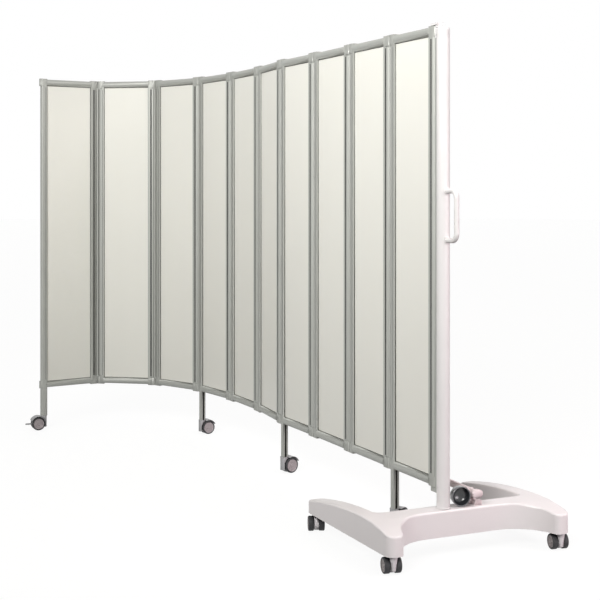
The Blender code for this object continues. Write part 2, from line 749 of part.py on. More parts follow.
def make_brackets(axis):
    half = STRIP_DEPTH / 2
    strip_start = POST_TO_PIVOT - KNUCKLE_RADIUS - POST_STRIP_CLEARANCE
    web_low = LEAF_TOP - UPPER_BRACKET_WEB
    top_high = LEAF_TOP + SEAT_GAP + UPPER_BRACKET_THICKNESS
    arm = bracket_arm("upper_arm", LEAF_TOP + SEAT_GAP, top_high)
    web = box("upper_web", (-half, 0, web_low), (half, strip_start, top_high - SINK))
    pin = cylinder("upper_pin", (0, POST_TO_PIVOT, LEAF_TOP - PIN_REACH),
                   (0, POST_TO_PIVOT, top_high - SINK), PIN_RADIUS, PIN_STEPS)
    over_cap = saddle(web_low - OVERRUN, top_high + OVERRUN)
    upper = cut(join(arm, web, pin), over_cap)
    publish(upper, "upper_hinge_bracket", WHITE_PAINT, axis)
    arm_top = LEAF_BOTTOM - SEAT_GAP
    arm_low = arm_top - LOWER_BRACKET_THICKNESS
    lower = bracket_arm("lower_arm", arm_low, arm_top)
    pin = cylinder("lower_pin", (0, POST_TO_PIVOT, arm_top - SINK),
                   (0, POST_TO_PIVOT, LEAF_BOTTOM + PIN_REACH), PIN_RADIUS, PIN_STEPS)
    lower = cut(join(lower, pin), saddle(arm_low - OVERRUN, arm_top + OVERRUN))
    publish(lower, "lower_hinge_bracket", WHITE_PAINT, axis)
    strip = box("strip", (-half, 0, arm_top + SEAT_GAP), (half, strip_start, web_low - SEAT_GAP))
    strip = cut(strip, saddle(arm_low, LEAF_TOP))
    publish(strip, "post_hinge_strip", LINK_METAL, axis)


def make_handle(axis):
    """A bow handle on the side of the post away from the leaves."""
    bend = HANDLE_BEND
    reach = -HANDLE_REACH
    route = [(0, 0, HANDLE_LOW)]
    route += [(0, y, z) for y, z in arc((reach + bend, HANDLE_LOW + bend), bend, 270, 180, 6)]
    route += [(0, y, z) for y, z in arc((reach + bend, HANDLE_HIGH - bend), bend, 180, 90, 6)]
    route += [(0, 0, HANDLE_HIGH)]
    bow = tube("bow", route, HANDLE_TUBE_RADIUS, 3)
    bow = cut(bow, saddle(HANDLE_LOW - RAIL_DIAMETER, HANDLE_HIGH + RAIL_DIAMETER))
    publish(bow, "push_handle", WHITE_MOULDING, axis)


# Foot pedal and cup on the crossbar

def make_pedal_group(parent):
    deck = base_top_height(POST_Y)
    make_cup(parent)
    make_pedal_bracket(parent, deck)
    make_pedal(parent)


def make_cup(parent):
    """An open round cup lying on its side, its mouth towards the push handle's side."""
    inner = CUP_RADIUS - CUP_WALL
    lip = CUP_WALL / 2
    profile = [(inner, CUP_DEPTH), (inner + lip, CUP_DEPTH + lip), (CUP_RADIUS, CUP_DEPTH)]
    profile += [(CUP_RADIUS * math.cos(a), CUP_RADIUS * -math.sin(a) * CUP_DEPTH / CUP_RADIUS / 2
                 + CUP_DEPTH / 2) for a in [math.radians(18 * i) for i in range(1, 5)]]
    profile += [(0, 0)]
    bowl = [(0, CUP_WALL)]
    bowl += [(inner * math.sin(a), CUP_DEPTH / 2 - (CUP_DEPTH / 2 - CUP_WALL) * math.cos(a))
             for a in [math.radians(22.5 * i) for i in range(1, 5)]]
    cup = turned("cup", bowl + profile, CUP_STEPS)
    cup.rotation_euler = (math.radians(90), 0, math.radians(-CUP_TURN_DEG))
    cup.location = (CUP_X, POST_Y + CUP_DEPTH / 2, CUP_Z)
    cup = apply_transform(cup)
    side = PEDAL_X - PEDAL_BAR_WIDTH / 2 - CHEEK_THICKNESS - 2 * RUN_GAP
    boss_y = PEDAL_PIVOT_Y - CHEEK_DEPTH / 2 + CUP_BOSS_SHARE * CUP_BOSS_RADIUS
    boss = cylinder("boss", (CUP_X + CUP_RADIUS - CUP_BOSS_SINK, boss_y, CUP_Z),
                    (side - SEAT_GAP, boss_y, CUP_Z), CUP_BOSS_RADIUS)
    cup = join(cup, boss)
    publish(cup, "stop_cup", CUP_BLACK, parent)


def make_pedal_bracket(parent, deck):
    """A foot on the crossbar with two cheeks that hold the pedal's pin."""
    inner = PEDAL_BAR_WIDTH / 2 + RUN_GAP
    outer = inner + CHEEK_THICKNESS
    y_low = PEDAL_PIVOT_Y - CHEEK_DEPTH / 2
    y_high = PEDAL_PIVOT_Y + CHEEK_DEPTH / 2
    rise = PEDAL_PIVOT_Z
    low = deck - OVERRUN
    foot = box("foot", (PEDAL_X - outer, y_low, low), (PEDAL_X + outer, y_high, deck + FOOT_HEIGHT))
    pad = box("foot_pad", (PEDAL_X + SINK, y_low - FOOT_OVERHANG, low),
              (PEDAL_X + FOOT_WIDTH + SINK, y_high, deck + FOOT_HEIGHT))
    tools = [pad]
    for side in (-1, 1):
        ends = sorted((PEDAL_X + side * inner, PEDAL_X + side * outer))
        tools.append(box("cheek", (ends[0], y_low, deck + SINK), (ends[1], y_high, rise)))
        tools.append(cylinder("cheek_top", (ends[0], PEDAL_PIVOT_Y, rise), (ends[1], PEDAL_PIVOT_Y, rise),
                              CHEEK_DEPTH / 2))
    tools.append(cylinder("pedal_pin", (PEDAL_X - inner - SINK, PEDAL_PIVOT_Y, rise),
                          (PEDAL_X + inner + SINK, PEDAL_PIVOT_Y, rise), AXLE_RADIUS, ROUND_STEPS))
    bracket = cut(join(foot, *tools), arch_solid("deck", -SEAT_GAP, 0))
    publish(bracket, "pedal_bracket", WHITE_MOULDING, parent)


def make_pedal(parent):
    """A rocker on the bracket's pin: a rounded pad in front and a bar behind."""
    axis = empty("pedal_axis", parent, (PEDAL_X, PEDAL_PIVOT_Y, PEDAL_PIVOT_Z))
    half_bar = PEDAL_BAR_HEIGHT / 2
    bar_end = PEDAL_BAR_END - PEDAL_PIVOT_Y
    front = PEDAL_PAD_Y - PEDAL_PIVOT_Y
    outline = [(front, -half_bar)]
    outline += arc((bar_end - half_bar, 0), half_bar, -90, 90)
    outline += [(front, half_bar)]
    bar = plate("bar", [outline], -PEDAL_BAR_WIDTH / 2, PEDAL_BAR_WIDTH / 2)
    bar.rotation_euler = (math.radians(90), 0, math.radians(90))
    bar = apply_transform(bar)
    half = PEDAL_PAD_HEIGHT / 2
    straight = PEDAL_PAD_WIDTH / 2 - half
    pad_outline = arc((straight, 0), half, -90, 90) + arc((-straight, 0), half, 90, 270)
    pad = plate("pad", [pad_outline], -front, -front + PEDAL_PAD_DEPTH)
    pad = along_y(pad)
    bore = cylinder("pedal_bore", (-PEDAL_BAR_WIDTH, 0, 0), (PEDAL_BAR_WIDTH, 0, 0),
                    AXLE_RADIUS + RUN_GAP, ROUND_STEPS)
    pedal = cut(join(bar, pad), bore)
    publish(pedal, "brake_pedal", WHITE_MOULDING, axis)


def make_brake_lever(swivel):
    """A foot lever on the end leaf's castor: a hub in the hood's slot, a tongue that passes between
    the wheels, and a tab behind them."""
    radius = LEG_WHEEL_RADIUS
    axle_z = radius * math.cos(math.pi / WHEEL_STEPS)
    axis = empty("leaf_1_brake_axis", swivel, (LEG_TRAIL + LEVER_FROM_AXLE, 0, axle_z))
    half = LEVER_TONGUE / 2
    tab_start = radius + FENDER_GAP - LEVER_FROM_AXLE
    tip = LEVER_WIDTH / 2
    flank = half - RUN_GAP
    outline = [(0, -flank), (tab_start, -flank), (tab_start, -tip)]
    outline += arc((tab_start + LEVER_LENGTH - tip, 0), tip, -90, 90)
    outline += [(tab_start, tip), (tab_start, flank), (0, flank)]
    lever = plate("tab", [outline], -LEVER_THICKNESS / 2, LEVER_THICKNESS / 2)
    hub = cylinder("hub", (0, -half, 0), (0, half, 0), LEVER_HUB_RADIUS)
    bore = cylinder("hub_bore", (0, -LEVER_TONGUE, 0), (0, LEVER_TONGUE, 0),
                    LEVER_PIN_RADIUS + PIN_PLAY, PIN_STEPS)
    lever = cut(join(lever, hub), bore)
    publish(lever, "leaf_1_brake_lever", CASTOR_GREY, axis)


# Assembly

def leaf_kind(number):
    return number == LEAF_COUNT, number == 1, number in LEG_LEAVES


def build_screen(parent):
    """The chain of leaves and links, each hung on the pivot of the one before."""
    frames = {}
    panel = panel_mesh()
    link = link_mesh()
    leg_sizes = (LEG_WHEEL_RADIUS, LEG_WHEEL_WIDTH, LEG_WEB_WIDTH)
    neck_sizes = (LEG_NECK_RADIUS, LEG_NECK_RADIUS, LEG_NECK_LOW, LEG_WEB_FRONT)
    leg_hoods = [castor_body_mesh((*leg_sizes, LEG_TRAIL), neck_sizes, LEG_BOTTOM - SEAT_GAP, True, with_lever)
                 for with_lever in (False, True)]
    leg_wheels = wheels_mesh(*leg_sizes)
    pivot = empty("leaf_10_axis", parent, (PIVOT_X, PIVOT_Y, 0), 90 + LEAF_HEADINGS_DEG[0])
    for index, number in enumerate(range(LEAF_COUNT, 0, -1)):
        kind = leaf_kind(number)
        if kind not in frames:
            frames[kind] = leaf_frame_mesh(*kind)
        publish_mesh(frames[kind], f"leaf_{number}_frame", ALUMINIUM, pivot)
        publish_mesh(panel, f"leaf_{number}_panel", OPAL, pivot)
        if number in LEG_LEAVES:
            swivel = add_castor(f"leaf_{number}_castor", pivot, (PIVOT_SPAN - LEG_CENTRE, 0, 0),
                                LEG_CASTOR_TURNS_DEG[number], (LEG_WHEEL_RADIUS, LEG_TRAIL),
                                (leg_hoods[number == 1], leg_wheels), CASTOR_GREY)
            if number == 1:
                make_brake_lever(swivel)
        if number == 1:
            break
        bend = LEAF_HEADINGS_DEG[index + 1] - LEAF_HEADINGS_DEG[index]
        link_axis = empty(f"hinge_{number - 1}_axis", pivot, (PIVOT_SPAN, 0, 0), bend / 2)
        publish_mesh(link, f"hinge_{number - 1}_link", LINK_METAL, link_axis)
        pivot = empty(f"leaf_{number - 1}_axis", link_axis, (LINK_SPAN, 0, 0), bend / 2)


# How far each leg's castor trails round from its leaf's own direction
LEG_CASTOR_TURNS_DEG = {10: -60.0, 7: -78.0, 4: -93.4, 1: -7.4}
# Where the base's castors trail, from +X: the near pair one way, the far pair the other
BASE_CASTOR_TURNS_DEG = {"near_left": 80.0, "near_right": 80.0, "far_left": 250.0, "far_right": 250.0}


def build_base(parent):
    make_base_cover(parent)
    make_chassis(parent)
    make_post(parent)
    make_pedal_group(parent)
    wheel_sizes = (BASE_WHEEL_RADIUS, BASE_WHEEL_WIDTH, BASE_WEB_WIDTH)
    neck_sizes = (BASE_NECK_RADIUS, BASE_NECK_TIP, BASE_NECK_LOW, BASE_WEB_FRONT)
    meshes = (castor_body_mesh((*wheel_sizes, BASE_TRAIL), neck_sizes, BASE_UNDER - SEAT_GAP, False),
              wheels_mesh(*wheel_sizes))
    for end, y in (("near", -BASE_CASTOR_Y), ("far", BASE_CASTOR_Y)):
        for side, x in (("left", -BASE_CASTOR_X), ("right", BASE_CASTOR_X)):
            place = f"{end}_{side}"
            add_castor(f"base_castor_{place}", parent, (x, y, 0), BASE_CASTOR_TURNS_DEG[place],
                       (BASE_WHEEL_RADIUS, BASE_TRAIL), meshes, WHITE_MOULDING)


def centre_on_floor(root):
    """Move the whole model so that the origin is the middle of its footprint."""
    bpy.context.view_layer.update()
    low = Vector((math.inf, math.inf))
    high = -low
    for item in PARTS.objects:
        if item.type != "MESH":
            continue
        for vertex in item.data.vertices:
            place = item.matrix_world @ vertex.co
            low = Vector((min(low.x, place.x), min(low.y, place.y)))
            high = Vector((max(high.x, place.x), max(high.y, place.y)))
    middle = (low + high) / 2
    root.location = (-middle.x, -middle.y, 0)


def main():
    root = empty("privacy_screen_origin", None)
    build_base(root)
    build_screen(root)
    centre_on_floor(root)
    for item in list(CUTTERS.objects):
        bpy.data.objects.remove(item, do_unlink=True)
    bpy.context.view_layer.update()


main()
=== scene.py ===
"""Looks of the folding privacy screen: satin aluminium leaves with opal sheets, hung from a white post
on an arched white castor base, in a plain pale studio. Lengths are in metres unless a name says
otherwise."""

import json
import math

import bmesh
import bpy
from mathutils import Matrix, Vector


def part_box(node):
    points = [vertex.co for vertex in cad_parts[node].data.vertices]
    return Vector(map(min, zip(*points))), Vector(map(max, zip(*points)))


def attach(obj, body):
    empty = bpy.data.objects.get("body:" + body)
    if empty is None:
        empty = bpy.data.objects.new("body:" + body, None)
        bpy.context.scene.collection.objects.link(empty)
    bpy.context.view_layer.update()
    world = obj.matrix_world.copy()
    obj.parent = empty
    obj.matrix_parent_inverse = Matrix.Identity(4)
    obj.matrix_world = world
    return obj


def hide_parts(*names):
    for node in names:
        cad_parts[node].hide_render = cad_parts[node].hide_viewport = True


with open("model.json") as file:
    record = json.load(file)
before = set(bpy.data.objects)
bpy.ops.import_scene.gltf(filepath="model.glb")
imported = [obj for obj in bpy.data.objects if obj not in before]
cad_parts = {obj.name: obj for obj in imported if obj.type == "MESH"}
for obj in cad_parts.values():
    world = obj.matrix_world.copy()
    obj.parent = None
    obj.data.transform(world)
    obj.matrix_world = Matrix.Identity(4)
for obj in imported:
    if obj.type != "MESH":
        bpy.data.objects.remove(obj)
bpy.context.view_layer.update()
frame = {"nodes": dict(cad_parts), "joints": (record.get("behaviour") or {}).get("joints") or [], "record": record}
NODES = frame["nodes"]
JOINTS = {joint["name"]: joint for joint in frame["joints"]}
BODY_OF = {node: body for body, group in frame["record"]["behaviour"]["bodies"].items() for node in group}

# Camera: its place from the middle of the base on the floor, and the picture's measures in pixels
CAMERA_PLACE = (-2.031, -3.429, 1.133)
CAMERA_HEADING = (0.4131, 0.9107)
SENSOR_WIDTH_MM = 36.0
IMAGE_SIDE = 600
FOCAL_PIXELS = 1230
HORIZON_ROW = 187.5

# Floor and sky
FLOOR_RADIUS = 40.0
FLOOR_STEPS = 96
FLOOR_COLOUR = (0.11, 0.11, 0.108)
FLOOR_ROUGHNESS = 0.8
FLOOR_SPECULAR = 0.1
FLOOR_GLOW = 0.90
BACKGROUND_COLOUR = (1, 1, 1)
SKY_LOW_COLOUR = (0.09, 0.08, 0.078)
SKY_MIDDLE_COLOUR = (0.20, 0.205, 0.20)
SKY_HIGH_COLOUR = (0.33, 0.33, 0.32)
SKY_MIDDLE_AT = 0.42
SKY_LOW_Z = -0.35
SKY_HIGH_Z = 0.75

# Leaves
LEAF_COUNT = 10
LEG_LEAVES = (1, 4, 7, 10)
PIVOT_SPAN = 0.259
STILE_HALF = 0.010
STILE_INSET = 0.020
RAIL_RADIUS = 0.015
RAIL_DROP = 0.0015
SEAL_HALF_DEPTH = 0.0037
SEAL_LIP = 0.0012
SEAL_REACH = 0.0010
# Where the near-black strips of painted shade lie on the stiles
LINE_INSET = 0.0125
LINE_WIDTH = 0.0011
LINE_PROUD = 0.00025
SLOT_INSET = 0.005
SLOT_WIDTH = 0.006
SLOT_END = 0.008

# End caps of the stiles
CAP_THICKNESS = 0.0012
CAP_RADIUS = 0.0148
CAP_STEPS = 32
CAP_REACH = STILE_INSET - SEAL_REACH
CAP_CORE = STILE_HALF / 2
CAP_CORE_SHARE = 0.5

# Dark blades in the double hinges' gaps, painted shade
LINK_SPAN = 0.031
STRIP_GAP = 0.0010
BLADE_CLEARANCE = 0.00012
BLADE_HALF_DEPTH = 0.0012
KNUCKLE_HEIGHT = 2 * (RAIL_RADIUS + RAIL_DROP)
KNUCKLE_BLADE = 0.0006

# Smoothed skins of the carried-over shapes
SKIN_SMOOTH_DEG = 42
COVER_ROUND = 0.0045
COVER_ROUND_STEPS = 3
COVER_ROUND_PROFILE = 0.5
COVER_FLAT_DEG = 0.5
WALL_NORMAL_MOST = 0.3
TOP_NORMAL_LEAST = 0.8
SEAM = 1e-6

# Castors' collars
LEG_COLLAR_RADIUS = 0.0158
BASE_COLLAR_RADIUS = 0.0146
COLLAR_HEIGHT = 0.0026
COLLAR_ROUND = 0.0006

# Post and push handle
POST_RADIUS = 0.021
FOOT_RING_WIDTH = 0.0026
FOOT_RING_HEIGHT = 0.0022
FLANGE_RADIUS = 0.0118
FLANGE_THICKNESS = 0.0024

# Stop cup
CUP_RADIUS = 0.031
CUP_WALL = 0.003
CUP_TURN_DEG = 8.0
CUP_RIM_PROUD = 0.0004
CUP_MOUTH_DEPTH = CUP_RIM_PROUD / 4

# Screws; the shares are of the head's radius and thickness
SCREW_RADIUS = 0.0032
SCREW_THICKNESS = 0.0011
SCREW_ABOVE_STRIP = SCREW_RADIUS * 3
SCREW_BELOW_TOP = SCREW_RADIUS * 4
SOCKET_SHARE = 0.45
SOCKET_FLOOR_SHARE = 0.2
DOME_SHARE = 0.75
DOME_HEIGHT_SHARE = 0.9
EDGE_HEIGHT_SHARE = 0.3

# Wheels; each castor's pair of sizes is the width of its web and of one wheel
BASE_CASTORS = ("near_left", "near_right", "far_left", "far_right")
BASE_WHEEL = (0.014, 0.019)
LEG_WHEEL = (0.012, 0.014)
WHEEL_SIDE_GAP = 0.001
AXLE_RADIUS = 0.0038
TYRE_ROUND = 0.004
TYRE_ROUND_STEPS = 5
DISC_SHARE = 0.80
DISC_DISH = 0.0022
DISC_GROOVE = 0.0009
DISC_GROOVE_SHARES = (0.72, 0.74, 0.78, 0.80)
HUB_SHARE = 0.26

# Turned and added pieces
ROUND_STEPS = 48
PIECE_SMOOTH_DEG = 35

# Sockets of a mix node, by number because its inputs share their names
MIX_FACTOR = 0
MIX_LOW = 2
MIX_HIGH = 3
MIX_RESULT = 0
MIX_COLOUR_LOW = 6
MIX_COLOUR_HIGH = 7
MIX_COLOUR_RESULT = 2


# Shader helpers

def new_material(name):
    material = bpy.data.materials.new(name)
    material.use_nodes = True
    nodes = material.node_tree.nodes
    return material, nodes, material.node_tree.links, nodes["Principled BSDF"]


def stretched_noise(nodes, links, scale, stretch=(1, 1, 1), detail=4.0):
    """Noise in the part's own coordinates, finer along an axis with a larger stretch."""
    place = nodes.new("ShaderNodeTexCoord")
    mapping = nodes.new("ShaderNodeMapping")
    mapping.inputs["Scale"].default_value = stretch
    noise = nodes.new("ShaderNodeTexNoise")
    noise.inputs["Scale"].default_value = scale
    noise.inputs["Detail"].default_value = detail
    links.new(place.outputs["Object"], mapping.inputs["Vector"])
    links.new(mapping.outputs["Vector"], noise.inputs["Vector"])
    return noise


def ramp(nodes, links, source, low, high, low_at=0.3, high_at=0.7):
    node = nodes.new("ShaderNodeValToRGB")
    node.color_ramp.elements[0].position = low_at
    node.color_ramp.elements[1].position = high_at
    node.color_ramp.elements[0].color = (*low, 1)
    node.color_ramp.elements[1].color = (*high, 1)
    links.new(source, node.inputs["Fac"])
    return node


def span(nodes, links, source, low, high):
    node = nodes.new("ShaderNodeMapRange")
    node.inputs["To Min"].default_value = low
    node.inputs["To Max"].default_value = high
    links.new(source, node.inputs["Value"])
    return node


def add_bump(nodes, links, shader, source, strength, distance):
    bump = nodes.new("ShaderNodeBump")
    bump.inputs["Strength"].default_value = strength
    bump.inputs["Distance"].default_value = distance
    links.new(source, bump.inputs["Height"])
    links.new(bump.outputs["Normal"], shader.inputs["Normal"])


def tint(colour, share):
    return tuple(channel * share for channel in colour)


# Brushed metal: draw lines, and a slower change of tone mixed in by a share
DRAW_SCALE = 60
DRAW_DETAIL = 6
SLOW_TONE_SCALE = 3.0
SLOW_TONE_SHARE = 0.35
METAL_DARKER = 0.93
METAL_LIGHTER = 1.05
METAL_SMOOTHER = 0.05
METAL_ROUGHER = 0.07
DRAWN_UPRIGHT = (6, 6, 0.05)
TURNED = (3, 3, 3)


def brushed_metal(name, colour, roughness, stretch, metallic):
    """Anodised extrusion: fine draw lines along its length and a slow change of tone."""
    material, nodes, links, shader = new_material(name)
    shader.inputs["Metallic"].default_value = metallic
    lines = stretched_noise(nodes, links, DRAW_SCALE, stretch, DRAW_DETAIL)
    tone = stretched_noise(nodes, links, SLOW_TONE_SCALE)
    mix = nodes.new("ShaderNodeMix")
    mix.inputs[MIX_FACTOR].default_value = SLOW_TONE_SHARE
    links.new(lines.outputs["Fac"], mix.inputs[MIX_LOW])
    links.new(tone.outputs["Fac"], mix.inputs[MIX_HIGH])
    dark = tint(colour, METAL_DARKER)
    light = tint(colour, METAL_LIGHTER)
    colours = ramp(nodes, links, mix.outputs[MIX_RESULT], dark, light)
    links.new(colours.outputs["Color"], shader.inputs["Base Color"])
    rough = span(nodes, links, lines.outputs["Fac"], roughness - METAL_SMOOTHER, roughness + METAL_ROUGHER)
    links.new(rough.outputs["Result"], shader.inputs["Roughness"])
    add_bump(nodes, links, shader, lines.outputs["Fac"], strength=0.25, distance=0.0001)
    return material


# Opal sheet: a wide cloud of tone, and a fine ripple in its gloss
CLOUD_SCALE = 2.2
CLOUD_STRETCH = (1, 1, 0.35)
RIPPLE_SCALE = 380
RIPPLE_STRETCH = (1, 1, 0.6)
OPAL_DARKER = 0.985
OPAL_ROUGHNESS = (0.34, 0.46)
OPAL_SPECULAR = 0.3
OPAL_SUBSURFACE = 0.12
OPAL_DEPTH = 0.01
OPAL_CHANNEL_DEPTHS = (1.0, 0.95, 0.85)


def opal_sheet(name, colour):
    """Milky sheet: a soft even tone, a little light through it and a faint extruded ripple."""
    material, nodes, links, shader = new_material(name)
    cloud = stretched_noise(nodes, links, CLOUD_SCALE, CLOUD_STRETCH, detail=3)
    colours = ramp(nodes, links, cloud.outputs["Fac"], tint(colour, OPAL_DARKER), colour)
    links.new(colours.outputs["Color"], shader.inputs["Base Color"])
    ripple = stretched_noise(nodes, links, RIPPLE_SCALE, RIPPLE_STRETCH, detail=2)
    rough = span(nodes, links, ripple.outputs["Fac"], *OPAL_ROUGHNESS)
    links.new(rough.outputs["Result"], shader.inputs["Roughness"])
    shader.inputs["Specular IOR Level"].default_value = OPAL_SPECULAR
    shader.inputs["Subsurface Weight"].default_value = OPAL_SUBSURFACE
    shader.inputs["Subsurface Scale"].default_value = OPAL_DEPTH
    shader.inputs["Subsurface Radius"].default_value = OPAL_CHANNEL_DEPTHS
    add_bump(nodes, links, shader, ripple.outputs["Fac"], strength=0.08, distance=0.0002)
    return material


# Coatings: a change of tone, and grain in the gloss
COATING_TONE_SCALE = 5
COATING_DARKER = 0.96
COATING_SMOOTHER = 0.04
COATING_ROUGHER = 0.06
COAT_ROUGHNESS = 0.15


def coated(name, colour, roughness, grain_scale, grain_strength, coat=0.0):
    """Paint or moulded plastic: fine orange peel or grain and a slight change of tone and gloss."""
    material, nodes, links, shader = new_material(name)
    tone = stretched_noise(nodes, links, COATING_TONE_SCALE)
    colours = ramp(nodes, links, tone.outputs["Fac"], tint(colour, COATING_DARKER), colour)
    links.new(colours.outputs["Color"], shader.inputs["Base Color"])
    grain = stretched_noise(nodes, links, grain_scale, detail=3)
    smooth = roughness - COATING_SMOOTHER
    rough = span(nodes, links, grain.outputs["Fac"], smooth, roughness + COATING_ROUGHER)
    links.new(rough.outputs["Result"], shader.inputs["Roughness"])
    shader.inputs["Coat Weight"].default_value = coat
    shader.inputs["Coat Roughness"].default_value = COAT_ROUGHNESS
    add_bump(nodes, links, shader, grain.outputs["Fac"], grain_strength, distance=0.0003)
    return material


# Rubber: dust that lightens it in patches
DUST_SCALE = 90
DUST_LIGHTER = 1.9
DUST_ROUGHNESS = (0.5, 0.72)


def rubber(name, colour, specular):
    """Rubber with dust that has settled unevenly."""
    material, nodes, links, shader = new_material(name)
    dust = stretched_noise(nodes, links, DUST_SCALE, detail=5)
    dusty = tint(colour, DUST_LIGHTER)
    colours = ramp(nodes, links, dust.outputs["Fac"], colour, dusty, low_at=0.45, high_at=0.75)
    links.new(colours.outputs["Color"], shader.inputs["Base Color"])
    rough = span(nodes, links, dust.outputs["Fac"], *DUST_ROUGHNESS)
    links.new(rough.outputs["Result"], shader.inputs["Roughness"])
    shader.inputs["Specular IOR Level"].default_value = specular
    add_bump(nodes, links, shader, dust.outputs["Fac"], strength=0.15, distance=0.0003)
    return material


# Materials

STILE_METAL = brushed_metal("satin_stile", (0.41, 0.417, 0.39), 0.46, DRAWN_UPRIGHT, metallic=0.3)
LINK_METAL = brushed_metal("satin_link", (0.42, 0.427, 0.40), 0.52, DRAWN_UPRIGHT, metallic=0.2)
OPAL = opal_sheet("opal", (0.88, 0.868, 0.805))
POST_PAINT = coated("post_paint", (0.81, 0.785, 0.78), 0.34, grain_scale=260, grain_strength=0.10, coat=0.3)
BASE_SHELL = coated("base_shell", (0.87, 0.82, 0.825), 0.38, grain_scale=420, grain_strength=0.12, coat=0.2)
PEDAL_SHELL = coated("pedal_shell", (0.82, 0.70, 0.71), 0.42, grain_scale=420, grain_strength=0.14)
HOOD_GREY = coated("hood_grey", (0.40, 0.40, 0.41), 0.46, grain_scale=520, grain_strength=0.16)
HOOD_WHITE = coated("hood_white", (0.78, 0.74, 0.76), 0.42, grain_scale=520, grain_strength=0.14)
DISC_GREY = coated("disc_grey", (0.40, 0.36, 0.37), 0.46, grain_scale=520, grain_strength=0.12)
DISC_BROWN = coated("disc_brown", (0.21, 0.18, 0.18), 0.40, grain_scale=520, grain_strength=0.12, coat=0.2)
END_CAP = coated("end_cap_grey", (0.44, 0.43, 0.41), 0.48, grain_scale=520, grain_strength=0.14)
CUP_RIM_GLOSS = coated("cup_rim", (0.13, 0.13, 0.14), 0.20, grain_scale=300, grain_strength=0.04, coat=0.6)
CHASSIS_BLACK = coated("chassis_black", (0.045, 0.045, 0.047), 0.55, grain_scale=320, grain_strength=0.2)
CUP_GLOSS = coated("cup_gloss", (0.030, 0.032, 0.037), 0.16, grain_scale=300, grain_strength=0.04, coat=0.6)
TYRE = rubber("tyre_rubber", (0.020, 0.020, 0.022), specular=0.5)
# A real seal's rubber, kept dark as painted shade for the shadow line along the rails
SEAL_AND_SHADE = rubber("seal_and_shade_rubber", (0.10, 0.10, 0.095), specular=0.2)
# Near-black strips on the stiles, in a leg's slot and in the hinges' gaps: painted shade
PAINTED_GAP_SHADE = rubber("painted_gap_shade", (0.012, 0.012, 0.011), specular=0.06)
STEEL = brushed_metal("bright_steel", (0.55, 0.55, 0.55), 0.30, TURNED, metallic=0.86)


def dress(node, material):
    """Give a carried-over node one of this script's materials."""
    mesh = NODES[node].data
    for index in range(len(mesh.materials)):
        mesh.materials[index] = material
    if not mesh.materials:
        mesh.materials.append(material)


def dress_all():
    for number in range(1, LEAF_COUNT + 1):
        dress(f"leaf_{number}_frame", STILE_METAL)
        dress(f"leaf_{number}_panel", OPAL)
        if number < LEAF_COUNT:
            dress(f"hinge_{number}_link", LINK_METAL)
    for number in LEG_LEAVES:
        dress(f"leaf_{number}_castor_body", HOOD_GREY)
    for spot in BASE_CASTORS:
        dress(f"base_castor_{spot}_body", HOOD_WHITE)
    dress("leaf_1_brake_lever", HOOD_GREY)
    dress("base_cover", BASE_SHELL)
    dress("base_chassis", CHASSIS_BLACK)
    for node in ("post", "post_cap", "upper_hinge_bracket", "push_handle"):
        dress(node, POST_PAINT)
    for node in ("post_hinge_strip", "lower_hinge_bracket"):
        dress(node, LINK_METAL)
    dress("stop_cup", CUP_GLOSS)
    for node in ("pedal_bracket", "brake_pedal"):
        dress(node, PEDAL_SHELL)


# Mesh helpers

def finish_mesh(name, work):
    mesh = bpy.data.meshes.new(name)
    work.to_mesh(mesh)
    work.free()
    return mesh


def add_piece(name, mesh, material, body, smooth_deg=PIECE_SMOOTH_DEG):
    """A piece from its mesh, shaded smooth up to an angle, that rides on a body."""
    piece = bpy.data.objects.new(name, mesh)
    bpy.context.scene.collection.objects.link(piece)
    mesh.materials.clear()
    mesh.materials.append(material)
    mesh.shade_smooth()
    mesh.set_sharp_from_angle(angle=math.radians(smooth_deg))
    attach(piece, body)
    return piece


def add_block(work, low, high):
    """A block between two corners, added to the mesh in hand."""
    made = bmesh.ops.create_cube(work, size=1)["verts"]
    size = Vector(high) - Vector(low)
    bmesh.ops.scale(work, vec=size, verts=made)
    bmesh.ops.translate(work, vec=(Vector(high) + Vector(low)) / 2, verts=made)


def turned_mesh(name, loops):
    """Closed rings of revolution about Z, each from a closed outline of (radius, height)."""
    work = bmesh.new()
    for outline in loops:
        rings = [turned_ring(work, radius, height) for radius, height in outline]
        for ring, following in zip(rings, rings[1:] + rings[:1]):
            bridge(work, ring, following)
    bmesh.ops.recalc_face_normals(work, faces=work.faces)
    return finish_mesh(name, work)


def turned_ring(work, radius, height):
    """The points of one ring, or a single point on the axis."""
    if radius < SEAM:
        return [work.verts.new((0, 0, height))]
    ring = []
    for step in range(ROUND_STEPS):
        angle = 2 * math.pi * step / ROUND_STEPS
        ring.append(work.verts.new((radius * math.cos(angle), radius * math.sin(angle), height)))
    return ring


def bridge(work, ring, following):
    """Faces between two rings, either of which may be a single point."""
    if len(ring) == 1 and len(following) == 1:
        return
    for step in range(ROUND_STEPS):
        nearby = (step + 1) % ROUND_STEPS
        if len(ring) == 1:
            corners = (ring[0], following[step], following[nearby])
        elif len(following) == 1:
            corners = (ring[step], following[0], ring[nearby])
        else:
            corners = (ring[step], following[step], following[nearby], ring[nearby])
        work.faces.new(corners)


def arc(centre, radius, start_deg, end_deg, steps):
    """The points of an arc after its start, as (radius, height)."""
    points = []
    for step in range(1, steps + 1):
        angle = math.radians(start_deg + (end_deg - start_deg) * step / steps)
        points.append((centre[0] + radius * math.cos(angle), centre[1] + radius * math.sin(angle)))
    return points


def ring_outline(inner, outer, low, high, edge):
    """Section of a flat ring with its outer edges taken off."""
    return [(inner, high), (outer - edge, high), (outer, high - edge), (outer, low + edge),
            (outer - edge, low), (inner, low)]


def flipped(outline):
    return [(radius, -height) for radius, height in outline]


def place_along(point, axis):
    """A frame at a point with its Z along an axis."""
    turn = Vector(axis).normalized().to_track_quat("Z", "Y").to_matrix().to_4x4()
    return Matrix.Translation(point) @ turn


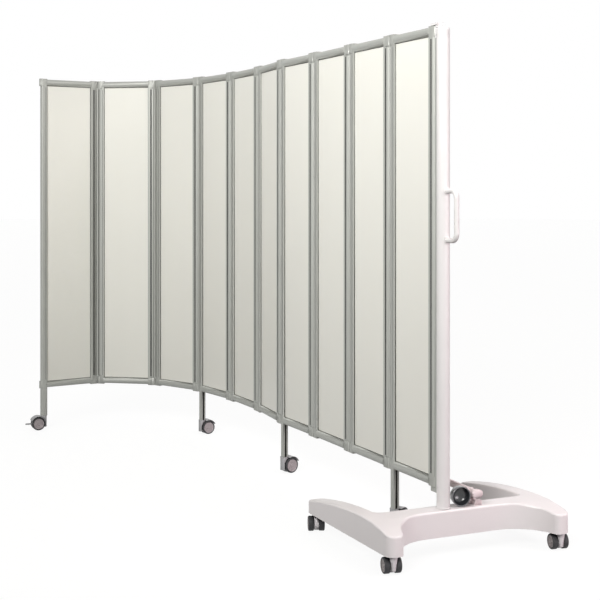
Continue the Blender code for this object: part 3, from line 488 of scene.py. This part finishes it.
def place_between(near, far):
    """A frame on the floor under one upright axis, with its X towards another and its Z up."""
    along = far - near
    return (Matrix.Translation((near.x, near.y, 0))
            @ Matrix.Rotation(math.atan2(along.y, along.x), 4, "Z"))


def add_turned(name, outline, place, axis, material, body):
    """A turned trim piece whose own Z runs along an axis."""
    mesh = turned_mesh(name, [outline])
    mesh.transform(place_along(place, axis))
    piece = add_piece(name, mesh, material, body)


# Castors

def tyre_outline(radius, inner, outer):
    """A tyre with round shoulders, as a closed outline about the axle."""
    disc = radius * DISC_SHARE
    middle = radius - TYRE_ROUND
    tyre = [(disc, outer - DISC_DISH / 2), (middle, outer)]
    tyre += arc((middle, outer - TYRE_ROUND), TYRE_ROUND, 90, 0, TYRE_ROUND_STEPS)
    tyre += arc((middle, inner + TYRE_ROUND), TYRE_ROUND, 0, -90, TYRE_ROUND_STEPS)
    tyre += [(disc, inner), (disc, (inner + outer) / 2)]
    return tyre


def disc_outline(radius, inner, outer):
    """A dished disc with a raised hub and a groove, as a closed outline about the axle."""
    disc = radius * DISC_SHARE
    hub = radius * HUB_SHARE
    rim = disc - DISC_DISH
    face = outer - DISC_DISH
    back = inner + DISC_GROOVE
    groove = DISC_GROOVE
    plate = [(0, face + groove), (hub - groove, face + groove), (hub, face - groove),
             (hub + groove * 2, face - groove), (hub + groove * 3, face)]
    inner_edge, inner_floor, outer_floor, outer_edge = (rim * share for share in DISC_GROOVE_SHARES)
    plate += [(inner_edge, face), (inner_floor, face - groove), (outer_floor, face - groove),
              (outer_edge, face)]
    plate += [(rim, face), (disc - groove / 2, outer - DISC_DISH / 3), (disc - groove / 4, back),
              (AXLE_RADIUS, back), (0, back)]
    return plate


def make_wheels(prefix, disc_material, web_width, wheel_width):
    """Two tyres, two discs and the axle of one castor, in place of its plain wheels."""
    joint = JOINTS[prefix + "_roll"]
    radius = joint["pos_m"][2]
    node = prefix + "_wheels"
    inner = web_width / 2 + WHEEL_SIDE_GAP
    outer = inner + wheel_width
    tyre = tyre_outline(radius, inner, outer)
    disc = disc_outline(radius, inner, outer)
    end = inner + DISC_DISH
    axle = [(0, end), (AXLE_RADIUS, end), (AXLE_RADIUS, -end), (0, -end)]
    place = place_along(joint["pos_m"], joint["axis"])
    for name, loops, material in (("tyres", [tyre, flipped(tyre)], TYRE),
                                  ("discs", [disc, flipped(disc)], disc_material), ("axle", [axle], STEEL)):
        mesh = turned_mesh(f"{prefix}_{name}", loops)
        mesh.transform(place)
        add_piece(f"{prefix}_{name}", mesh, material, joint["child"])
    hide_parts(node)


def make_collar(prefix, radius, top, material):
    """The lip round the top of a castor's housing."""
    place = JOINTS[prefix + "_swivel"]["pos_m"]
    outline = ring_outline(AXLE_RADIUS, radius, top - COLLAR_HEIGHT, top, COLLAR_ROUND)
    mesh = turned_mesh(prefix + "_collar", [outline])
    mesh.transform(Matrix.Translation((place[0], place[1], 0)))
    return add_piece(prefix + "_collar", mesh, material, prefix + "_hood")


def make_castors():
    """Wheels and collars of the base's castors and of the leaves' castors."""
    cover_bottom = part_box("base_cover")[0][2]
    for spot in BASE_CASTORS:
        prefix = f"base_castor_{spot}"
        make_wheels(prefix, DISC_BROWN, *BASE_WHEEL)
        collar = make_collar(prefix, BASE_COLLAR_RADIUS, cover_bottom - COLLAR_ROUND, HOOD_WHITE)
    for number in LEG_LEAVES:
        prefix = f"leaf_{number}_castor"
        make_wheels(prefix, DISC_GREY, *LEG_WHEEL)
        leg_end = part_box(f"leaf_{number}_frame")[0][2]
        collar = make_collar(prefix, LEG_COLLAR_RADIUS, leg_end - COLLAR_ROUND, HOOD_GREY)


# Leaves

def leaf_place(number):
    """The leaf's own frame: X from its pivot nearest the post, along the leaf, Z up."""
    near = Vector(JOINTS["leaf_10_hinge" if number == LEAF_COUNT else f"hinge_{number}_outer"]["pos_m"])
    far = Vector(JOINTS["leaf_1_castor_swivel" if number == 1 else f"hinge_{number - 1}_inner"]["pos_m"])
    return place_between(near, far)


def make_seal_and_shade_line(number, place, low, high):
    """A dark seal all round the sheet, where it enters the stiles and rails; its dark tone is also painted shade
    for the shadow line along the rails.
    """
    bottom = low + RAIL_DROP + 2 * RAIL_RADIUS - SEAL_LIP / 2
    top = high - RAIL_DROP - 2 * RAIL_RADIUS + SEAL_LIP / 2
    left = STILE_INSET - SEAL_REACH
    right = PIVOT_SPAN - left
    depth = SEAL_HALF_DEPTH
    side = SEAL_REACH + SEAL_LIP
    work = bmesh.new()
    add_block(work, (left, -depth, bottom - SEAL_LIP), (left + side, depth, top + SEAL_LIP))
    add_block(work, (right - side, -depth, bottom - SEAL_LIP), (right, depth, top + SEAL_LIP))
    for z in (bottom, top):
        add_block(work, (left + side, -depth, z - SEAL_LIP), (right - side, depth, z + SEAL_LIP))
    mesh = finish_mesh(f"leaf_{number}_seal", work)
    mesh.transform(place)
    piece = add_piece(f"leaf_{number}_seal", mesh, SEAL_AND_SHADE, f"leaf_{number}")


def make_painted_slot_shade(number, place, low, high):
    """Painted shade: near-black strips where the slot down both faces of the near stile, the fine line down both
    faces of the far one and the groove down a leg fall dark."""
    work = bmesh.new()
    bottom = low + KNUCKLE_HEIGHT + SLOT_END
    top = high - KNUCKLE_HEIGHT - SLOT_END
    for x, half in ((SLOT_INSET, SLOT_WIDTH / 2), (PIVOT_SPAN - LINE_INSET, LINE_WIDTH / 2)):
        for side in (-1, 1):
            faces = sorted((side * (STILE_HALF - LINE_PROUD), side * (STILE_HALF + LINE_PROUD)))
            add_block(work, (x - half, faces[0], bottom), (x + half, faces[1], top))
    if number in LEG_LEAVES:
        face = PIVOT_SPAN - STILE_INSET
        leg_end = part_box(f"leaf_{number}_frame")[0][2]
        add_block(work, (face - LINE_PROUD, -SEAL_HALF_DEPTH, leg_end + LINE_PROUD),
                  (face + SEAL_LIP, SEAL_HALF_DEPTH, low))
    mesh = finish_mesh(f"leaf_{number}_slot_shade", work)
    mesh.transform(place)
    piece = add_piece(f"leaf_{number}_slot_shade", mesh, PAINTED_GAP_SHADE, f"leaf_{number}")


def add_end_cap(work, x, z):
    """One plug: round on its hinge side, flat on both faces and square where it meets the rail."""
    inward = 1 if x == 0 else -1
    made = bmesh.ops.create_cone(work, cap_ends=True, segments=CAP_STEPS, radius1=CAP_RADIUS,
                                 radius2=CAP_RADIUS, depth=CAP_THICKNESS)["verts"]
    for vertex in made:
        vertex.co.y = max(-STILE_HALF, min(STILE_HALF, vertex.co.y))
        if vertex.co.x * inward > 0:
            share = 1 if abs(vertex.co.x) > CAP_CORE else CAP_CORE_SHARE
            vertex.co.x = inward * CAP_REACH * share
    bmesh.ops.translate(work, vec=(x, 0, z + CAP_THICKNESS / 2), verts=made)


def make_end_caps(number, place, low, high):
    """Moulded plugs over the open ends of the stiles."""
    ends = []
    if number < LEAF_COUNT:
        ends += [(0, high), (0, low - CAP_THICKNESS)]
    ends.append((PIVOT_SPAN, high))
    if number not in LEG_LEAVES:
        ends.append((PIVOT_SPAN, low - CAP_THICKNESS))
    work = bmesh.new()
    for x, z in ends:
        add_end_cap(work, x, z)
    mesh = finish_mesh(f"leaf_{number}_end_caps", work)
    mesh.transform(place)
    piece = add_piece(f"leaf_{number}_end_caps", mesh, END_CAP, f"leaf_{number}")


def make_painted_gap_shade(number, low, high):
    """Near-black blades in a double hinge's four narrow gaps, carried by its link: painted shade in the gaps."""
    near = Vector(JOINTS[f"hinge_{number}_inner"]["pos_m"])
    far = Vector(JOINTS[f"hinge_{number}_outer"]["pos_m"])
    inner = STILE_HALF + BLADE_CLEARANCE
    outer = STILE_HALF + STRIP_GAP + BLADE_CLEARANCE
    middle = LINK_SPAN / 2
    thin = KNUCKLE_BLADE / 2
    depth = BLADE_HALF_DEPTH
    work = bmesh.new()
    for start, end in ((inner, outer), (LINK_SPAN - outer, LINK_SPAN - inner)):
        add_block(work, (start, -depth, low + KNUCKLE_HEIGHT), (end, depth, high - KNUCKLE_HEIGHT))
    for bottom in (low, high - KNUCKLE_HEIGHT):
        add_block(work, (middle - thin, -depth, bottom), (middle + thin, depth, bottom + KNUCKLE_HEIGHT))
    mesh = finish_mesh(f"hinge_{number}_gap_shade", work)
    mesh.transform(place_between(near, far))
    piece = add_piece(f"hinge_{number}_gap_shade", mesh, PAINTED_GAP_SHADE, f"hinge_{number}")


def make_leaf_trim():
    """Each leaf's seal, strips of painted shade and end caps, and each link's blades of painted shade. Leaf 9 has
    no leg, so its frame ends where all the leaves' bottom rails do."""
    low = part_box("leaf_9_frame")[0][2]
    for number in range(1, LEAF_COUNT + 1):
        place = leaf_place(number)
        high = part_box(f"leaf_{number}_frame")[1][2]
        make_seal_and_shade_line(number, place, low, high)
        make_painted_slot_shade(number, place, low, high)
        make_end_caps(number, place, low, high)
        if number < LEAF_COUNT:
            make_painted_gap_shade(number, low, high)


# Post and base trim

def make_post_trim():
    """Ring at the post's foot and flanges under the push handle's ends."""
    low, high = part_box("post")
    x = (low[0] + high[0]) / 2
    y = (low[1] + high[1]) / 2
    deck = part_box("base_cover")[1][2]
    ring = ring_outline(POST_RADIUS, POST_RADIUS + FOOT_RING_WIDTH, 0, FOOT_RING_HEIGHT, COLLAR_ROUND)
    foot = (x, y, deck - COLLAR_ROUND)
    add_turned("post_foot_ring", ring, foot, (0, 0, 1), POST_PAINT, "base")
    grip_low, grip_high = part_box("push_handle")
    grip = (grip_high[0] - grip_low[0]) / 2
    flange = ring_outline(0, FLANGE_RADIUS, 0, FLANGE_THICKNESS, COLLAR_ROUND)
    for name, z in (("low", grip_low[2] + grip), ("high", grip_high[2] - grip)):
        seat = (x, y - POST_RADIUS + COLLAR_ROUND, z)
        add_turned(f"push_handle_flange_{name}", flange, seat, (0, -1, 0), POST_PAINT, "base")


def screw_outline():
    """A low domed head with a round socket."""
    socket = SCREW_RADIUS * SOCKET_SHARE
    floor = SCREW_THICKNESS * SOCKET_FLOOR_SHARE
    dome = (SCREW_RADIUS * DOME_SHARE, SCREW_THICKNESS * DOME_HEIGHT_SHARE)
    edge = SCREW_THICKNESS * EDGE_HEIGHT_SHARE
    return [(0, floor), (socket, floor), (socket, SCREW_THICKNESS), dome, (SCREW_RADIUS, edge),
            (SCREW_RADIUS, -SCREW_THICKNESS), (0, -SCREW_THICKNESS)]


def add_screw(name, place, side):
    add_turned(name, screw_outline(), place, (side, 0, 0), STEEL, "base")


def make_bracket_screws():
    """Two screws in each side of the upper bracket, above the strip between the post and the leaf."""
    low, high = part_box("post_hinge_strip")
    bracket_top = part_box("upper_hinge_bracket")[1][2]
    y = (low[1] + high[1]) / 2
    for index, z in enumerate((high[2] + SCREW_ABOVE_STRIP, bracket_top - SCREW_BELOW_TOP)):
        for name, side, x in (("left", -1, low[0]), ("right", 1, high[0])):
            add_screw(f"bracket_screw_{index}_{name}", (x, y, z), side)


def make_pedal_trim():
    """Heads of the pedal's pin on both cheeks."""
    pivot = JOINTS["pedal_rock"]["pos_m"]
    pad_low, pad_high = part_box("brake_pedal")
    middle = (pad_low[0] + pad_high[0]) / 2
    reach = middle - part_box("pedal_bracket")[0][0]
    for name, side in (("left", -1), ("right", 1)):
        add_screw(f"pedal_pin_{name}", (middle + side * reach, pivot[1], pivot[2]), side)


def make_cup_rim():
    """The lip round the cup's mouth, found from the cup's own foremost points."""
    turn = math.radians(CUP_TURN_DEG)
    outward = Vector((-math.sin(turn), -math.cos(turn), 0))
    points = [vertex.co for vertex in NODES["stop_cup"].data.vertices]
    foremost = max(point.dot(outward) for point in points)
    mouth = [point for point in points if point.dot(outward) > foremost - CUP_MOUTH_DEPTH]
    centre = sum(mouth, Vector()) / len(mouth)
    bore = CUP_RADIUS - CUP_WALL
    outline = ring_outline(bore, CUP_RADIUS + CUP_RIM_PROUD, -CUP_WALL, CUP_RIM_PROUD, COLLAR_ROUND)
    add_turned("stop_cup_rim", outline, centre, outward, CUP_RIM_GLOSS, "base")


# Smoothed skins

def weighted_normals(piece):
    """Shade by the larger faces, so that flats stay flat beside rounded corners."""
    modifier = piece.modifiers.new("weighted", "WEIGHTED_NORMAL")
    modifier.keep_sharp = True
    graph = bpy.context.evaluated_depsgraph_get()
    shaded = bpy.data.meshes.new_from_object(piece.evaluated_get(graph), depsgraph=graph)
    piece.modifiers.clear()
    piece.data = shaded


def make_skin(node, material, round_edges=None):
    """The node's own shape with smooth shading, standing for the node."""
    work = bmesh.new()
    work.from_mesh(NODES[node].data)
    bmesh.ops.remove_doubles(work, verts=work.verts, dist=SEAM)
    if round_edges:
        round_edges(work)
    mesh = finish_mesh(node + "_skin", work)
    piece = add_piece(node + "_skin", mesh, material, BODY_OF[node], SKIN_SMOOTH_DEG)
    weighted_normals(piece)
    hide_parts(node)


def round_cover_edges(work):
    """Roll the edge between the cover's top and its walls."""
    flat = math.radians(COVER_FLAT_DEG)
    bmesh.ops.dissolve_limit(work, angle_limit=flat, verts=work.verts, edges=work.edges)
    chosen = []
    for edge in work.edges:
        if len(edge.link_faces) != 2:
            continue
        wall = min(abs(face.normal.z) for face in edge.link_faces)
        top = max(face.normal.z for face in edge.link_faces)
        if wall < WALL_NORMAL_MOST and top > TOP_NORMAL_LEAST:
            chosen.append(edge)
    bmesh.ops.bevel(work, geom=chosen, offset=COVER_ROUND, offset_type="OFFSET", segments=COVER_ROUND_STEPS,
                    profile=COVER_ROUND_PROFILE, affect="EDGES", clamp_overlap=True)


def make_skins():
    make_skin("base_cover", BASE_SHELL, round_cover_edges)
    for node in ("post", "post_cap", "push_handle"):
        make_skin(node, POST_PAINT)
    make_skin("stop_cup", CUP_GLOSS)
    for node in ("pedal_bracket", "brake_pedal"):
        make_skin(node, PEDAL_SHELL)
    for number in range(1, LEAF_COUNT + 1):
        make_skin(f"leaf_{number}_frame", STILE_METAL)
    for number in LEG_LEAVES:
        make_skin(f"leaf_{number}_castor_body", HOOD_GREY)
    for spot in BASE_CASTORS:
        make_skin(f"base_castor_{spot}_body", HOOD_WHITE)


# Camera, floor and light

def base_middle():
    low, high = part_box("base_cover")
    return Vector(((low[0] + high[0]) / 2, (low[1] + high[1]) / 2, 0))


def make_camera():
    """A level camera, with the picture's frame moved down so that the horizon lies above its middle."""
    data = bpy.data.cameras.new("camera")
    data.sensor_width = SENSOR_WIDTH_MM
    data.lens = FOCAL_PIXELS / IMAGE_SIDE * SENSOR_WIDTH_MM
    data.shift_y = -(IMAGE_SIDE / 2 - HORIZON_ROW) / IMAGE_SIDE
    camera = bpy.data.objects.new("camera", data)
    bpy.context.scene.collection.objects.link(camera)
    camera.location = base_middle() + Vector(CAMERA_PLACE)
    camera.rotation_euler = (math.radians(90), 0, -math.atan2(*CAMERA_HEADING))
    bpy.context.scene.camera = camera


def seen_by_eye_or_gloss(nodes, links):
    """One for camera, glossy and transmission rays, so that metal shows the same pale background."""
    path = nodes.new("ShaderNodeLightPath")
    last = path.outputs["Is Camera Ray"]
    for name in ("Is Glossy Ray", "Is Transmission Ray"):
        larger = nodes.new("ShaderNodeMath")
        larger.operation = "MAXIMUM"
        links.new(last, larger.inputs[0])
        links.new(path.outputs[name], larger.inputs[1])
        last = larger.outputs["Value"]
    return last


def floor_material():
    """A matt floor that takes shadows, with a glow that only the camera and glossy surfaces see."""
    material, nodes, links, shader = new_material("studio_floor")
    shader.inputs["Base Color"].default_value = (*FLOOR_COLOUR, 1)
    shader.inputs["Roughness"].default_value = FLOOR_ROUGHNESS
    shader.inputs["Specular IOR Level"].default_value = FLOOR_SPECULAR
    glow = nodes.new("ShaderNodeEmission")
    glow.inputs["Strength"].default_value = FLOOR_GLOW
    add = nodes.new("ShaderNodeAddShader")
    shown = nodes.new("ShaderNodeMixShader")
    links.new(shader.outputs["BSDF"], add.inputs[0])
    links.new(glow.outputs["Emission"], add.inputs[1])
    links.new(seen_by_eye_or_gloss(nodes, links), shown.inputs["Fac"])
    links.new(shader.outputs["BSDF"], shown.inputs[1])
    links.new(add.outputs["Shader"], shown.inputs[2])
    links.new(shown.outputs["Shader"], nodes["Material Output"].inputs["Surface"])
    return material


def make_floor():
    work = bmesh.new()
    bmesh.ops.create_circle(work, cap_ends=True, radius=FLOOR_RADIUS, segments=FLOOR_STEPS)
    mesh = finish_mesh("floor", work)
    mesh.materials.append(floor_material())
    floor = bpy.data.objects.new("floor", mesh)
    bpy.context.scene.collection.objects.link(floor)


def make_world():
    """A sky that is lighter towards the top, and plain white where the camera or a gloss sees it."""
    world = bpy.data.worlds.new("studio")
    bpy.context.scene.world = world
    world.use_nodes = True
    nodes = world.node_tree.nodes
    links = world.node_tree.links
    place = nodes.new("ShaderNodeTexCoord")
    split = nodes.new("ShaderNodeSeparateXYZ")
    links.new(place.outputs["Generated"], split.inputs["Vector"])
    height = nodes.new("ShaderNodeMapRange")
    height.inputs["From Min"].default_value = SKY_LOW_Z
    height.inputs["From Max"].default_value = SKY_HIGH_Z
    links.new(split.outputs["Z"], height.inputs["Value"])
    sky = nodes.new("ShaderNodeValToRGB")
    low, high = sky.color_ramp.elements
    low.color = (*SKY_LOW_COLOUR, 1)
    high.color = (*SKY_HIGH_COLOUR, 1)
    middle = sky.color_ramp.elements.new(SKY_MIDDLE_AT)
    middle.color = (*SKY_MIDDLE_COLOUR, 1)
    links.new(height.outputs["Result"], sky.inputs["Fac"])
    shown = nodes.new("ShaderNodeMix")
    shown.data_type = "RGBA"
    links.new(seen_by_eye_or_gloss(nodes, links), shown.inputs[MIX_FACTOR])
    links.new(sky.outputs["Color"], shown.inputs[MIX_COLOUR_LOW])
    shown.inputs[MIX_COLOUR_HIGH].default_value = (*BACKGROUND_COLOUR, 1)
    links.new(shown.outputs[MIX_COLOUR_RESULT], nodes["Background"].inputs["Color"])


def add_light(name, place, target, size, watts, colour, spread_deg=180):
    """A softbox, placed and aimed from the middle of the base on the floor."""
    data = bpy.data.lights.new(name, "AREA")
    data.spread = math.radians(spread_deg)
    data.shape = "RECTANGLE"
    data.size = size[0]
    data.size_y = size[1]
    data.energy = watts
    data.color = colour
    lamp = bpy.data.objects.new(name, data)
    bpy.context.scene.collection.objects.link(lamp)
    lamp.location = base_middle() + Vector(place)
    aim = base_middle() + Vector(target) - lamp.location
    lamp.rotation_euler = aim.to_track_quat("-Z", "Y").to_euler()


def make_lights():
    add_light("key_softbox", place=(-3.2, -2.2, 3.4), target=(0, 0.6, 2.1), size=(2.6, 1.6), watts=65,
              colour=(1.0, 0.995, 0.975), spread_deg=80)
    add_light("right_softbox", place=(1.9, -1.5, 3.7), target=(0, 0.1, 0.1), size=(2.2, 2.0), watts=52,
              colour=(1.0, 0.95, 0.95))
    add_light("front_softbox", place=(1.4, -4.0, 1.0), target=(0, 0, 0), size=(2.0, 1.2), watts=9,
              colour=(1.0, 0.93, 0.97), spread_deg=80)
    add_light("rose_fill", place=(2.6, -1.8, 0.9), target=(0.2, -0.1, 0.6), size=(1.6, 1.2), watts=14,
              colour=(1.0, 0.62, 0.70))


def main():
    make_camera()
    make_floor()
    make_world()
    make_lights()
    dress_all()
    make_castors()
    make_leaf_trim()
    make_post_trim()
    make_bracket_screws()
    make_pedal_trim()
    make_cup_rim()
    make_skins()
    bpy.context.scene.view_settings.view_transform = "Standard"


main()
